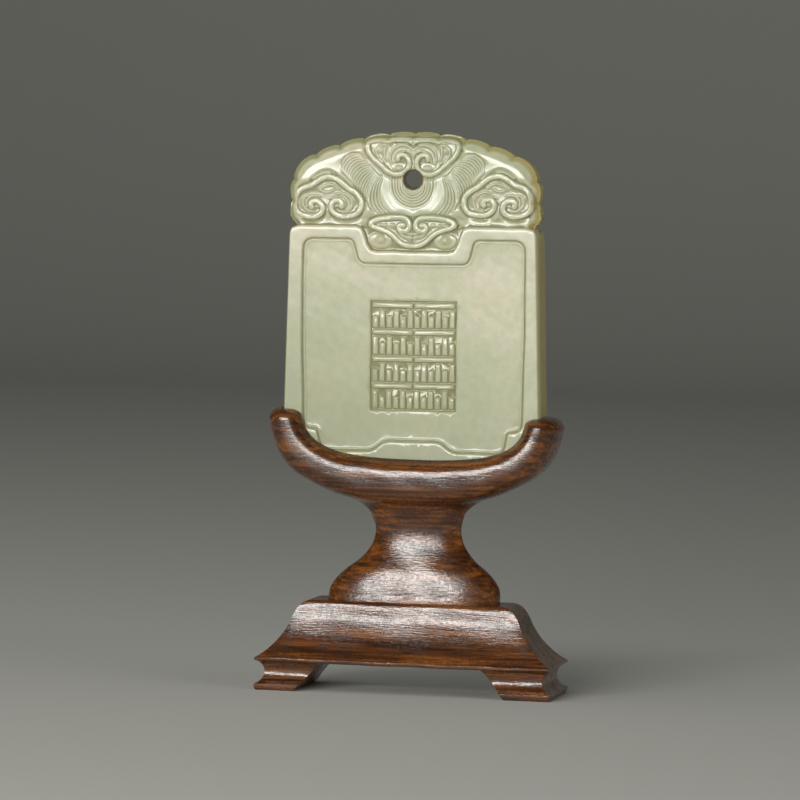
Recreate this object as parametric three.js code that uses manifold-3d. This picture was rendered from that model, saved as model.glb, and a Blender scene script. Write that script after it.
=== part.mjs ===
// A carved jade plaque standing upright in its wooden stand.
//
// Three pieces, in millimetres, +Z up, the front facing -Y. The origin is on the table, under the
// middle of the base.
//   jade_plaque     one slab of jade: a scalloped crown with cloud heads, a hanging hole, a raised
//                   frame around a sunk panel, and a sunk block of strokes in the panel
//   cradle_stem     one piece of wood: a bulb, a waist and a crescent with a groove for the plaque
//   footed_base     one piece of wood: an ogee block on two bracket feet
//
// The plaque only stands in the groove. The bulb is glued on the base.

import * as THREE from 'three';
import { mergeVertices } from 'three/addons/utils/BufferGeometryUtils.js';
import Module from 'manifold-3d';

const wasm = await Module();
wasm.setup();

// ---------------------------------------------------------------- driving dimensions

const CLEARANCE = 0.3; // between pieces that touch

// Base
const BASE_WIDTH = 54;
const BASE_DEPTH = 17;
const BASE_HEIGHT = 16.2;
const LIP_BOTTOM = 5.5; // underside of the sharp lip around the block
const LIP_TOP = 5.85;
const PAD_TOP = 1.1; // the thin pad that each foot stands on
const PAD_UNDERCUT = 0.45; // the pad's bottom edge is rounded back by this much
const COVE_DEPTH = 1.6; // how far the hollow moulding of the feet goes in
const OGEE_INSET = 9.6; // from the lip to the flat top, along the length
// How far the long sides of the ogee stand back at each height: they are steeper than the ends.
const OGEE_LONG_SIDES = [
  { z: LIP_TOP, inset: 0 },
  { z: 7.3, inset: 1.1 },
  { z: 9.6, inset: 2.3 },
  { z: 11.6, inset: 3.0 },
  { z: 13.0, inset: 3.28 },
  { z: 14.6, inset: 3.46 },
  { z: 15.6, inset: 3.66 },
  { z: BASE_HEIGHT, inset: 4.0 },
];
const ARCH_HALF_TOP = 14.9; // the opening between the feet, at its roof
const ARCH_HALF_FLOOR = 19.3; // and on the table
const ARCH_ROOF = 5.1;
const ARCH_SHIFT = -0.5; // the opening is cut a little off the middle

// Plaque
const PLAQUE_FOOT = 40; // height of its lower edge
const PLAQUE_THICKNESS = 7.6;
const BODY_HALF_BOTTOM = 23.75;
const BODY_HALF_TOP = 22.85;
const BODY_CORNER = 6.2; // radius of the two lower corners
const SHOULDER = 83.5; // where the frame ends and the crown starts
const SHOULDER_CORNER = 1.2;
const CROWN_HALF = 22.4;
const CROWN_BOTTOM = 84;
const CROWN_TOP = 100;
const ARCH_RADIUS = 44.5; // the long curve of the crown
const CROWN_CORNER = 6.6; // the round corner between the side and the long curve
const LOBE_RISE = 0.5; // the scallops along the crown
const LOBES = [
  { count: 4, length: 18.6 }, // along half of the long curve
  { count: 1, length: 6.3 }, // round the corner
  { count: 2, length: 7.5 }, // down the side
];
const EDGE_ROUND = 1.1; // all edges of the slab are rounded
const HOLE_RADIUS = 1.85;
const HOLE_HEIGHT = 91.9;
const PLAQUE_LEAN = 0.5; // degrees: the plaque stands a little askew, its top towards -X

// Carving on the front of the plaque, as depths below its frame
const PANEL_DEPTH = 0.45;
const CROWN_GROUND_DEPTH = 0.7;
const GROUND_MARGIN = 1.6; // the rim that is left along the scallops
const POCKET_DEPTH = 0.95;
const BLOCK_DEPTH = 0.85; // floor of the block of strokes
const STROKE_DEPTH = 0.5; // top of its strokes
const BLOCK = { left: -7.55, right: 8.2, bottom: 50.6, top: 70.3 };
const STROKE_ROWS = 4;
const STROKES_PER_ROW = 12;
const BAR_HEIGHT = 0.8; // the level strokes over each row
const STROKE_WIDTH = 0.9;
const SHORTER_STROKE = 1.1; // every second stroke is this much shorter

// Cradle and stem
const CRADLE_HALF_DEPTH = 6.3;
// The nosing and the slope inside it: how far back from the inner edge, and how far behind the front.
const NOSING = [[2.4, 0.07], [1.6, 0.26], [1.0, 0.68], [0.4, 1.55]];
const TIP_RISE = 2; // the rounded ends of the crescent
// Half of the crescent, from a tip to the middle: the outer edge, and the edge against the jade.
const CRADLE_RAILS = [
  { outer: [26.9, 48.3], inner: [20.7, 48.5] },
  { outer: [26.3, 45.5], inner: [20.1, 46.9] },
  { outer: [24.9, 42.1], inner: [18.7, 45.2] },
  { outer: [22.3, 39.2], inner: [16.6, 43.9] },
  { outer: [18.7, 37.1], inner: [13.9, 43.0] },
  { outer: [14.8, 35.4], inner: [11.0, 42.5] },
  { outer: [8.0, 33.8], inner: [6.0, 42.1] },
  { outer: [0, 33.4], inner: [0, 42.0] },
];
// Half width and half depth of the stem at each height, from the joint on the base up.
const STEM_SECTIONS = [
  { z: BASE_HEIGHT + CLEARANCE, halfX: 15.75, halfY: 4.4 },
  { z: 18.4, halfX: 15.5, halfY: 4.35 },
  { z: 20.0, halfX: 14.7, halfY: 4.2 },
  { z: 21.7, halfX: 13.1, halfY: 3.95 },
  { z: 23.8, halfX: 10.5, halfY: 3.4 },
  { z: 26.0, halfX: 8.75, halfY: 2.82 },
  { z: 27.4, halfX: 8.15, halfY: 2.6 },
  { z: 29.4, halfX: 7.9, halfY: 2.55 },
  { z: 32.4, halfX: 9.0, halfY: 3.3 },
  { z: 34.6, halfX: 11.9, halfY: 4.6 },
  { z: 36.6, halfX: 15.0, halfY: 6.0 },
];
const STEM_ROUNDNESS = 2.15; // exponent of the stem's oval: 2 is an ellipse
const LEFT_ARM = { outer: 0.985, inner: 0.96 }; // the left arm is cut a little thicker, and nearer the middle
const STEM_SHIFT = 0.2; // the hand-cut stem stands this far off the middle
const NECK_SHIFT = 0.8; // and its waist this much more

// ---------------------------------------------------------------- materials

const jade = new THREE.MeshStandardMaterial({ color: 0xc8caae, roughness: 0.3, metalness: 0 });
const rosewood = new THREE.MeshStandardMaterial({ color: 0x5c2d14, roughness: 0.35, metalness: 0 });

// ---------------------------------------------------------------- from geometry to solid and back

function solidOf(geometry) {
  const bare = geometry.clone();
  bare.deleteAttribute('normal');
  bare.deleteAttribute('uv');
  const merged = mergeVertices(bare, 1e-4);
  return new wasm.Manifold(new wasm.Mesh({
    numProp: 3,
    vertProperties: new Float32Array(merged.attributes.position.array),
    triVerts: new Uint32Array(merged.index.array),
  }));
}

function meshOf(name, solid, material) {
  const { vertProperties, triVerts } = solid.getMesh();
  const geometry = new THREE.BufferGeometry();
  geometry.setAttribute('position', new THREE.BufferAttribute(vertProperties, 3));
  geometry.setIndex(new THREE.BufferAttribute(triVerts, 1));
  geometry.computeVertexNormals();
  const mesh = new THREE.Mesh(geometry, material);
  mesh.name = name;
  return mesh;
}

// A plate cut to an outline drawn in X and Z. It reaches from y = front back to y = back.
function plate(shape, front, back, edge = 0) {
  const geometry = new THREE.ExtrudeGeometry(shape, {
    depth: back - front - 2 * edge,
    bevelEnabled: edge > 0,
    bevelThickness: edge,
    bevelSize: edge,
    bevelOffset: -edge,
    bevelSegments: 3,
    curveSegments: 8,
  });
  geometry.rotateX(Math.PI / 2); // the outline now stands up, and the depth runs towards -Y
  geometry.translate(0, back - edge, 0);
  return solidOf(geometry);
}

// A solid skinned over closed rings of points, with a flat face on the first and the last ring.
// Rings run anticlockwise seen from the end that the stack grows towards.
function skinned(rings) {
  const size = rings[0].length;
  const points = rings.flat();
  const last = (rings.length - 1) * size;
  const faces = [];
  for (let r = 0; r + 1 < rings.length; r += 1) {
    for (let i = 0; i < size; i += 1) {
      const a = r * size + i;
      const b = r * size + ((i + 1) % size);
      faces.push(a, b, b + size, a, b + size, a + size);
    }
  }
  for (let i = 1; i + 1 < size; i += 1) {
    faces.push(0, i + 1, i);
    faces.push(last, last + i, last + i + 1);
  }
  const geometry = new THREE.BufferGeometry();
  geometry.setAttribute('position', new THREE.Float32BufferAttribute(points.flatMap((p) => p.toArray()), 3));
  geometry.setIndex(faces);
  return solidOf(geometry);
}

const mirrored = ([x, z]) => [-x, z];

// An outline given as its right half, from bottom to top, and completed by its mirror image.
const bothSides = (half) => [...half, ...half.filter(([x]) => x > 0).reverse().map(mirrored)];

const straightOutline = (points) => new THREE.Shape(points.map(([x, z]) => new THREE.Vector2(x, z)));

// A closed outline through points of [x, z], as a smooth curve.
function smoothOutline(points, steps) {
  const through = points.map(([x, z]) => new THREE.Vector3(x, z, 0));
  const curve = new THREE.CatmullRomCurve3(through, true, 'centripetal');
  return straightOutline(curve.getPoints(steps).slice(0, -1).map((p) => [p.x, p.y]));
}

// A closed outline with straight sides and corners rounded to a radius.
function roundedOutline(points, radius) {
  const shape = new THREE.Shape();
  const corners = points.map(([x, z]) => new THREE.Vector2(x, z));
  corners.forEach((corner, i) => {
    const before = corners[(i + corners.length - 1) % corners.length];
    const after = corners[(i + 1) % corners.length];
    const enter = corner.clone().add(before.clone().sub(corner).setLength(radius));
    const leave = corner.clone().add(after.clone().sub(corner).setLength(radius));
    if (i === 0) shape.moveTo(enter.x, enter.y);
    else shape.lineTo(enter.x, enter.y);
    shape.quadraticCurveTo(corner.x, corner.y, leave.x, leave.y);
  });
  shape.closePath();
  return shape;
}

// ---------------------------------------------------------------- footed base

// How far the moulding stands back from the lip at each height, as [inset, z].
function baseProfile() {
  const profile = [[PAD_UNDERCUT, 0], [0.12, 0.25], [0, 0.6]];
  const coveMiddle = (PAD_TOP + LIP_BOTTOM) / 2;
  const halfChord = (LIP_BOTTOM - PAD_TOP) / 2;
  const radius = (halfChord ** 2 + COVE_DEPTH ** 2) / (2 * COVE_DEPTH);
  const coveSteps = 8;
  for (let i = 0; i <= coveSteps; i += 1) {
    const z = PAD_TOP + (2 * halfChord * i) / coveSteps;
    profile.push([Math.sqrt(radius ** 2 - (z - coveMiddle) ** 2) - (radius - COVE_DEPTH), z]);
  }
  const turn = new THREE.Vector2(5.8, 12.2); // where the ogee changes from hollow to round
  const hollow = new THREE.CubicBezierCurve(
    new THREE.Vector2(0, LIP_TOP),
    new THREE.Vector2(2.6, 7.3),
    new THREE.Vector2(4.6, 9.6),
    turn,
  );
  const round = new THREE.CubicBezierCurve(
    turn,
    new THREE.Vector2(6.6, 14.2),
    new THREE.Vector2(7.4, BASE_HEIGHT),
    new THREE.Vector2(OGEE_INSET, BASE_HEIGHT),
  );
  hollow.getPoints(7).forEach((p) => profile.push([p.x, p.y]));
  round.getPoints(9).slice(1).forEach((p) => profile.push([p.x, p.y]));
  return profile;
}

function longSideInset(z) {
  const above = Math.max(1, OGEE_LONG_SIDES.findIndex((point) => z <= point.z + 1e-9));
  const [low, high] = [OGEE_LONG_SIDES[above - 1], OGEE_LONG_SIDES[above]];
  return low.inset + ((high.inset - low.inset) * (z - low.z)) / (high.z - low.z);
}

function footedBase() {
  const rings = baseProfile().map(([inset, z]) => {
    const x = BASE_WIDTH / 2 - inset;
    const y = BASE_DEPTH / 2 - (z > LIP_TOP ? longSideInset(z) : inset);
    return [[-x, -y], [x, -y], [x, y], [-x, y]].map(([px, py]) => new THREE.Vector3(px, py, z));
  });
  const below = 1;
  const slope = (ARCH_HALF_FLOOR - ARCH_HALF_TOP) / ARCH_ROOF;
  const opening = straightOutline(bothSides([
    [ARCH_HALF_FLOOR + slope * below, -below],
    [ARCH_HALF_TOP, ARCH_ROOF],
  ]).map(([x, z]) => [x + ARCH_SHIFT, z]));
  return skinned(rings).subtract(plate(opening, -BASE_DEPTH, BASE_DEPTH));
}

// ---------------------------------------------------------------- cradle and stem

const lengthBetween = (a, b) => Math.hypot(a[0] - b[0], a[1] - b[1]);

// Half depth of the crescent at a distance from its outer edge, for a section of a given width.
function cradleSection(width) {
  const points = [];
  const roundSteps = 4;
  const roundWidth = 3.4;
  for (let i = 0; i <= roundSteps; i += 1) {
    const angle = (i / roundSteps) * (Math.PI / 2);
    points.push([roundWidth * (1 - Math.cos(angle)), CRADLE_HALF_DEPTH * Math.sin(angle) ** 0.7]);
  }
  NOSING.forEach(([back, drop]) => points.push([width - back, CRADLE_HALF_DEPTH - drop]));
  points.push([width, PLAQUE_THICKNESS / 2 + 0.4]);
  return points;
}

function cradleRing(outer, inner, scale, rise) {
  const width = lengthBetween(outer, inner);
  const half = cradleSection(width);
  const front = half.slice(1).map(([d, y]) => [d, -y]);
  return [...front, ...half.slice().reverse()].map(([distance, y]) => {
    const along = 0.5 + (distance / width - 0.5) * scale;
    return new THREE.Vector3(
      outer[0] + (inner[0] - outer[0]) * along,
      y * scale,
      outer[1] + (inner[1] - outer[1]) * along + rise,
    );
  });
}

function crescent() {
  const left = CRADLE_RAILS.slice(0, -1).reverse().map(({ outer, inner }) => (
    { outer: [-outer[0] * LEFT_ARM.outer, outer[1]], inner: [-inner[0] * LEFT_ARM.inner, inner[1]] }));
  const rails = [...CRADLE_RAILS, ...left];
  const curveOf = (edge) => (
    new THREE.CatmullRomCurve3(rails.map((rail) => new THREE.Vector3(...rail[edge], 0))));
  const outer = curveOf('outer');
  const inner = curveOf('inner');
  const steps = 44;
  const rings = [];
  const tipSteps = 5;
  const tip = (t, i) => {
    const angle = (i / tipSteps) * (Math.PI / 2) * 0.96;
    const pair = [outer.getPoint(t), inner.getPoint(t)].map((p) => [p.x, p.y]);
    return cradleRing(...pair, Math.cos(angle) ** 0.6, TIP_RISE * Math.sin(angle));
  };
  for (let i = tipSteps; i > 0; i -= 1) rings.push(tip(0, i));
  for (let s = 0; s <= steps; s += 1) {
    const pair = [outer.getPoint(s / steps), inner.getPoint(s / steps)].map((p) => [p.x, p.y]);
    rings.push(cradleRing(...pair, 1, 0));
  }
  for (let i = 1; i <= tipSteps; i += 1) rings.push(tip(1, i));
  return skinned(rings);
}

function stem() {
  const curve = new THREE.CatmullRomCurve3(
    STEM_SECTIONS.map(({ z, halfX, halfY }) => new THREE.Vector3(halfX, halfY, z)),
  );
  const low = STEM_SECTIONS[0].z;
  const high = STEM_SECTIONS[STEM_SECTIONS.length - 1].z;
  const around = 32;
  const rings = curve.getPoints(24).map(({ x: halfX, y: halfY, z }) => {
    const ring = [];
    const shift = STEM_SHIFT + NECK_SHIFT * Math.sin((Math.PI * (z - low)) / (high - low));
    for (let i = 0; i < around; i += 1) {
      const angle = (i / around) * 2 * Math.PI;
      const [c, s] = [Math.cos(angle), Math.sin(angle)];
      ring.push(new THREE.Vector3(
        shift + halfX * Math.sign(c) * Math.abs(c) ** (2 / STEM_ROUNDNESS),
        halfY * Math.sign(s) * Math.abs(s) ** (2 / STEM_ROUNDNESS),
        z,
      ));
    }
    return ring;
  });
  return skinned(rings);
}

// Turned about the middle of the plaque's foot by the small angle that the plaque is askew.
function leaning(solid) {
  return solid.translate([0, 0, -PLAQUE_FOOT]).rotate([0, -PLAQUE_LEAN, 0]).translate([0, 0, PLAQUE_FOOT]);
}

function cradleStem() {
  const halfGroove = PLAQUE_THICKNESS / 2 + CLEARANCE;
  const groove = plate(bodyOutline(CLEARANCE), -halfGroove, halfGroove);
  return crescent().add(stem()).subtract(leaning(groove));
}

// ---------------------------------------------------------------- jade plaque

// The round lower corner on the right, from the bottom edge up to the side, moved out by an offset.
function lowerCorner(offset) {
  const radius = BODY_CORNER + offset;
  const x = BODY_HALF_BOTTOM - BODY_CORNER;
  const z = PLAQUE_FOOT + BODY_CORNER;
  const steps = 8;
  return Array.from({ length: steps + 1 }, (_, i) => {
    const angle = (i / steps - 1) * (Math.PI / 2);
    return [x + radius * Math.cos(angle), z + radius * Math.sin(angle)];
  });
}

// The part of the plaque that the groove is cut for, up to the shoulders.
function bodyOutline(offset) {
  return straightOutline(bothSides([...lowerCorner(offset), [BODY_HALF_TOP + offset, SHOULDER]]));
}

// A point and an outward direction on the crown, at a distance along it from its highest point.
function crownPath(distance) {
  const joinAngle = Math.asin((CROWN_HALF - CROWN_CORNER) / (ARCH_RADIUS - CROWN_CORNER));
  const archLength = ARCH_RADIUS * joinAngle;
  const cornerLength = CROWN_CORNER * (Math.PI / 2 - joinAngle);
  const archCentre = CROWN_TOP - ARCH_RADIUS;
  const cornerHeight = archCentre + (ARCH_RADIUS - CROWN_CORNER) * Math.cos(joinAngle);
  if (distance < archLength) {
    const a = distance / ARCH_RADIUS;
    return {
      at: [ARCH_RADIUS * Math.sin(a), archCentre + ARCH_RADIUS * Math.cos(a)],
      out: [Math.sin(a), Math.cos(a)],
    };
  }
  if (distance < archLength + cornerLength) {
    const a = joinAngle + (distance - archLength) / CROWN_CORNER;
    return {
      at: [CROWN_HALF - CROWN_CORNER + CROWN_CORNER * Math.sin(a), cornerHeight + CROWN_CORNER * Math.cos(a)],
      out: [Math.sin(a), Math.cos(a)],
    };
  }
  return { at: [CROWN_HALF, cornerHeight - (distance - archLength - cornerLength)], out: [1, 0] };
}

// The scalloped right half of the crown, from the shoulder up to the middle. The last scallop ends
// at the notch above the shoulder.
function crownEdge(offset) {
  const half = [];
  const stepsPerLobe = 6;
  let start = 0;
  LOBES.forEach(({ count, length }) => {
    const pitch = length / count;
    for (let i = 0; i < count * stepsPerLobe; i += 1) {
      const phase = (i % stepsPerLobe) / stepsPerLobe;
      const { at, out } = crownPath(start + (i / stepsPerLobe) * pitch);
      const rise = offset + LOBE_RISE * Math.sqrt(Math.sin(Math.PI * phase));
      half.push([at[0] + out[0] * rise, at[1] + out[1] * rise]);
    }
    start += length;
  });
  half.push([CROWN_HALF - LOBE_RISE + offset, CROWN_BOTTOM]);
  return half.reverse();
}

function plaqueOutline() {
  const shoulder = [
    [BODY_HALF_TOP, SHOULDER - SHOULDER_CORNER],
    [BODY_HALF_TOP - 0.35, SHOULDER - 0.35],
    [BODY_HALF_TOP - SHOULDER_CORNER, SHOULDER],
  ];
  const shape = straightOutline(bothSides([...lowerCorner(0), ...shoulder, ...crownEdge(0)]));
  const hole = new THREE.Path();
  hole.absarc(0, HOLE_HEIGHT, HOLE_RADIUS, 0, 2 * Math.PI, true);
  shape.holes.push(hole);
  return shape;
}

// The frame is left standing around this panel.
const panelOutline = () => roundedOutline(bothSides([
  [5.0, 45.0], [7.2, 43.1], [16.9, 43.1], [17.6, 46.9], [20.2, 47.2],
  [20.6, 66], [20.5, 81.5], [10.9, 81.5], [9.8, 77.1],
]), 1.0);

// Above the frame, the ground is cut away around the cloud heads.
const crownGroundOutline = () => (
  straightOutline(bothSides([[20, SHOULDER + 0.2], ...crownEdge(-GROUND_MARGIN)])));

const pocketOutline = () => roundedOutline(bothSides([[7.6, 79.1], [9.3, 84.4]]), 0.8);

const hangingCloud = () => smoothOutline(bothSides([
  [0.7, 93.9], [2.0, 92.9], [3.7, 92.7], [6.6, 94.2], [9.1, 96.6], [8.9, 98.6], [4, 98.7],
]), 48);

const sideCloud = (side) => smoothOutline([
  [9.1, 87.6], [10.2, 85.4], [12.4, 84.8], [15.6, 86.0], [19.0, 85.1], [21.3, 86.0],
  [22.0, 88.3], [20.6, 90.6], [18.2, 91.2], [16.0, 92.7], [13.6, 91.4], [10.9, 90.4],
].map(([x, z]) => [side * x, z]), 40);

const browCloud = () => smoothOutline(bothSides([
  [0.5, 79.9], [1.8, 80.7], [3.6, 82.4], [7.6, 83.2], [8.3, 84.2], [6.6, 85.1], [3.2, 85.6], [0.9, 84.9],
]), 40);

// Rows of plain upright strokes under level bars, in two halves. Their lengths alternate, and they
// spell nothing.
function blockOfStrokes(front) {
  const { left, right, bottom, top } = BLOCK;
  const border = 0.45;
  const corners = [[left, bottom], [right, bottom], [right, top], [left, top]];
  let cutter = plate(roundedOutline(corners, 0.6), front - 1, front + BLOCK_DEPTH);
  const leave = (from, to, low, high) => {
    const stroke = straightOutline([[from, low], [to, low], [to, high], [from, high]]);
    cutter = cutter.subtract(plate(stroke, front + STROKE_DEPTH, front + BLOCK_DEPTH + 1));
  };
  const rowPitch = (top - bottom - border) / STROKE_ROWS;
  const halfWidth = (right - left) / 2 - 1.5 * border;
  const pitch = (halfWidth + border) / (STROKES_PER_ROW / 2);
  for (let row = 0; row < STROKE_ROWS; row += 1) {
    const foot = bottom + border + row * rowPitch;
    const roof = foot + rowPitch - border;
    [left + border, (left + right) / 2 + border / 2].forEach((start) => {
      leave(start, start + halfWidth, roof - BAR_HEIGHT, roof);
      for (let i = 0; i < STROKES_PER_ROW / 2; i += 1) {
        const from = start + i * pitch;
        const shorter = (i + row) % 2 ? SHORTER_STROKE : 0;
        leave(from, from + STROKE_WIDTH, foot, roof - BAR_HEIGHT - border - shorter);
      }
    });
  }
  return cutter;
}

function jadePlaque() {
  const front = -PLAQUE_THICKNESS / 2;
  const back = PLAQUE_THICKNESS / 2;
  const slab = plate(plaqueOutline(), front, back, EDGE_ROUND);
  const cut = (shape, depth) => plate(shape, front - 1, front + depth);
  const island = (shape) => plate(shape, front - 2, front + 2);
  const ground = cut(crownGroundOutline(), CROWN_GROUND_DEPTH)
    .subtract(island(hangingCloud()))
    .subtract(island(sideCloud(1)))
    .subtract(island(sideCloud(-1)));
  const pocket = cut(pocketOutline(), POCKET_DEPTH);
  const cutters = ground.add(pocket).subtract(island(browCloud()));
  const backPanel = plate(panelOutline(), back - PANEL_DEPTH, back + 1);
  return leaning(slab
    .subtract(cutters)
    .subtract(cut(panelOutline(), PANEL_DEPTH))
    .subtract(blockOfStrokes(front))
    .subtract(backPanel));
}

// ---------------------------------------------------------------- the object

const object = new THREE.Group();
object.add(meshOf('footed_base', footedBase(), rosewood));
object.add(meshOf('cradle_stem', cradleStem(), rosewood));
object.add(meshOf('jade_plaque', jadePlaque(), jade));

export default object;
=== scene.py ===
import math

import bmesh
import bpy
import numpy as np
from mathutils import Matrix, Vector


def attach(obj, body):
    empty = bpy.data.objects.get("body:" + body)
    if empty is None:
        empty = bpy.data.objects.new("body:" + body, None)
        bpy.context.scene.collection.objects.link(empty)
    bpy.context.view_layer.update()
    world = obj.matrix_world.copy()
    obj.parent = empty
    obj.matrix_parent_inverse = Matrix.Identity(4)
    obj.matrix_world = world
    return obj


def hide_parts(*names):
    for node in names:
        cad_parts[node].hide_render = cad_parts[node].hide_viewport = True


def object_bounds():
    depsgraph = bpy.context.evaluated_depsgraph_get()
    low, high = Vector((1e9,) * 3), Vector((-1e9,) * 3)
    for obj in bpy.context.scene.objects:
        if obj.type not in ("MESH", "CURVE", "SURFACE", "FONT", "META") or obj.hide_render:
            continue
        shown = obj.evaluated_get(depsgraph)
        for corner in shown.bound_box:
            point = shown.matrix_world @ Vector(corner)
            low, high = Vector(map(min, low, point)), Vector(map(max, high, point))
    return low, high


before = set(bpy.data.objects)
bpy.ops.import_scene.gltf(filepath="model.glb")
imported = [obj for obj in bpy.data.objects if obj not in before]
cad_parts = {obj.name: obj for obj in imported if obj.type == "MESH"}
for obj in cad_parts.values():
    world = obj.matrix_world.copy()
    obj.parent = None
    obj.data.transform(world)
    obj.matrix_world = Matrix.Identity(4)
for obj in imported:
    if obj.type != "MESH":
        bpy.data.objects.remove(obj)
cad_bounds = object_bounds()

# A carved jade plaque that stands in the cradle of a small rosewood stand.
# Shapes are worked out in millimetres and turned to metres when a piece is finished.

METRES = 0.001

# ---------------------------------------------------------------- sizes, mm

BASE_WIDTH, BASE_DEPTH, BASE_HEIGHT = 54.0, 17.0, 16.2
LIP_BOTTOM, LIP_TOP = 5.5, 5.85
PAD_TOP, PAD_UNDERCUT = 1.1, 0.45
COVE_DEPTH = 1.6
OGEE_INSET = 9.6
# How far the front and back of the ogee stand back, against height.
OGEE_FRONT = (
    (LIP_TOP, 0), (7.3, 1.1), (9.6, 2.22), (11.6, 2.88), (13.0, 3.26), (14.2, 3.42),
    (15.2, 3.53), (15.8, 3.7), (BASE_HEIGHT, 4.0),
)
ARCH_HALF_TOP, ARCH_HALF_FLOOR, ARCH_ROOF = 14.9, 19.3, 5.1
ARCH_SHIFT = -0.5  # the opening is cut a little off the middle

PLAQUE_FOOT = 40.0
PLAQUE_THICKNESS = 7.6
BODY_HALF_BOTTOM, BODY_HALF_TOP = 23.75, 22.85
BODY_CORNER = 6.2
SHOULDER, SHOULDER_CORNER = 83.5, 1.2
CROWN_HALF, CROWN_BOTTOM, CROWN_TOP = 22.4, 84.0, 100.0
ARCH_RADIUS, CROWN_CORNER = 44.5, 6.6
LOBE_RISE = 0.49
LOBES = ((4, 18.6), (1, 6.3), (2, 7.5))  # how many scallops, and the length they share
# The slope round both faces of the crown: how far in from the outline, and how deep.
RIM = ((1.25, 0), (1.02, 0.13), (0.62, 0.46), (0.26, 0.92), (0.06, 1.4), (0, 1.9))
BODY_RIM = 0.4  # the slope round the body is this much narrower
HOLE_RADIUS, HOLE_HEIGHT = 1.85, 91.9
HOLE_TAPER, HOLE_SKEW = 0.42, 10.5
PLAQUE_LEAN = 0.5  # degrees: the plaque stands a little askew

PANEL_DEPTH = 0.45
# A cut line and a bead run round the panel: how far in, how wide and how high.
PANEL_LINES = ((0.2, 0.14, -0.05), (0.55, 0.17, 0.15))
PANEL_SHIFT = 0.3
POCKET_DEPTH = 0.95
BLOCK_DEPTH, BLOCK_BORDER = 0.84, 0.45
BLOCK_LEFT, BLOCK_RIGHT, BLOCK_BOTTOM, BLOCK_TOP = -7.55, 8.2, 50.6, 70.3
STROKE_ROWS, STROKES_PER_ROW = 4, 12
STROKE_WIDTH, SHORTER_STROKE, BAR_HEIGHT = 0.9, 1.1, 0.8

CRADLE_HALF_DEPTH = 6.3
NOSING = ((3.0, 0.0), (2.4, 0.07), (1.8, 0.2), (1.35, 0.4), (1.0, 0.68), (0.75, 1.02), (0.4, 1.55))
TIP_RISE = 2.0
# Outer and inner edge of the crescent, from its tip to the middle.
CRADLE_RAILS = (
    ((26.9, 48.3), (20.7, 48.5)),
    ((26.3, 45.5), (20.1, 46.9)),
    ((24.9, 42.1), (18.7, 45.2)),
    ((22.3, 39.2), (16.6, 43.9)),
    ((18.7, 37.1), (13.9, 43.0)),
    ((14.8, 35.4), (11.0, 42.5)),
    ((8.0, 33.8), (6.0, 42.1)),
    ((0.0, 33.4), (0.0, 42.0)),
)
# Height, half width and half depth of the stem, and the exponent of its oval: 2 is an ellipse.
STEM_SECTIONS = (
    (15.7, 15.8, 4.6, 2.4),
    (18.4, 15.55, 4.34, 2.4),
    (20.0, 14.7, 4.13, 2.35),
    (21.7, 13.1, 3.84, 2.3),
    (23.8, 10.5, 3.32, 2.1),
    (26.0, 8.75, 2.82, 2.0),
    (27.4, 8.15, 2.6, 2.0),
    (29.4, 7.9, 2.55, 2.0),
    (32.4, 9.0, 3.3, 2.1),
    (34.6, 11.9, 4.6, 2.2),
    (36.6, 15.0, 6.0, 2.2),
)
LEFT_ARM = (0.985, 0.96)  # the left arm is cut a little thicker: its outer and inner edge
STEM_SHIFT, NECK_SHIFT = 0.2, 0.8
ARM_TILT = 0.011  # how much lower the right arm is, for each millimetre out
# Where the stem runs into the crescent, the surface is smoothed this many times.
BLEND_LOW, BLEND_HIGH, BLEND_HALF_WIDTH, BLEND_ROUNDS = 31.5, 38.5, 19, 24

JADE_VOXEL = 0.11
WOOD_VOXEL = 0.28
MOST_TRIANGLES = 194000
FIT_GAP = 0.12  # between the jade and the groove it stands in


# ---------------------------------------------------------------- curves

def through(points, spans=6, closed=False):
    """A smooth curve through points of any number of values: centripetal, so it doesn't overshoot."""
    given = np.array(points, float)
    if closed:
        padded = np.vstack([given[-1], given, given[0], given[1]])
    else:
        padded = np.vstack([2 * given[0] - given[1], given, 2 * given[-1] - given[-2]])
    curve = []
    for p0, p1, p2, p3 in zip(padded[:-3], padded[1:-2], padded[2:-1], padded[3:]):
        a, b, c = (max(np.linalg.norm(q - p), 1e-6) ** 0.5 for p, q in ((p0, p1), (p1, p2), (p2, p3)))
        lean_in = ((p1 - p0) / a - (p2 - p0) / (a + b) + (p2 - p1) / b) * b
        lean_out = ((p2 - p1) / b - (p3 - p1) / (b + c) + (p3 - p2) / c) * b
        for t in np.arange(spans) / spans:
            curve.append(
                (2 * t**3 - 3 * t**2 + 1) * p1
                + (t**3 - 2 * t**2 + t) * lean_in
                + (3 * t**2 - 2 * t**3) * p2
                + (t**3 - t**2) * lean_out
            )
    if not closed:
        curve.append(given[-1])
    return np.array(curve)


def bezier(start, pull, push, end, steps):
    """Points of [x, z] along one cubic curve."""
    t = np.linspace(0, 1, steps + 1)[:, None]
    start, pull, push, end = (np.array(p, float) for p in (start, pull, push, end))
    return (1 - t) ** 3 * start + 3 * (1 - t) ** 2 * t * pull + 3 * (1 - t) * t**2 * push + t**3 * end


def both_sides(half):
    """An outline given as its right half, from bottom to top, and completed by its mirror image."""
    half = [tuple(p) for p in half]
    return np.array(half + [(-x, z) for x, z in reversed(half) if x > 1e-6])


def soft_step(low, high, value):
    """0 below low, 1 above high, and smooth between them. low may be the larger one."""
    t = np.clip((value - low) / (high - low), 0, 1)
    return t * t * (3 - 2 * t)


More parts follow.
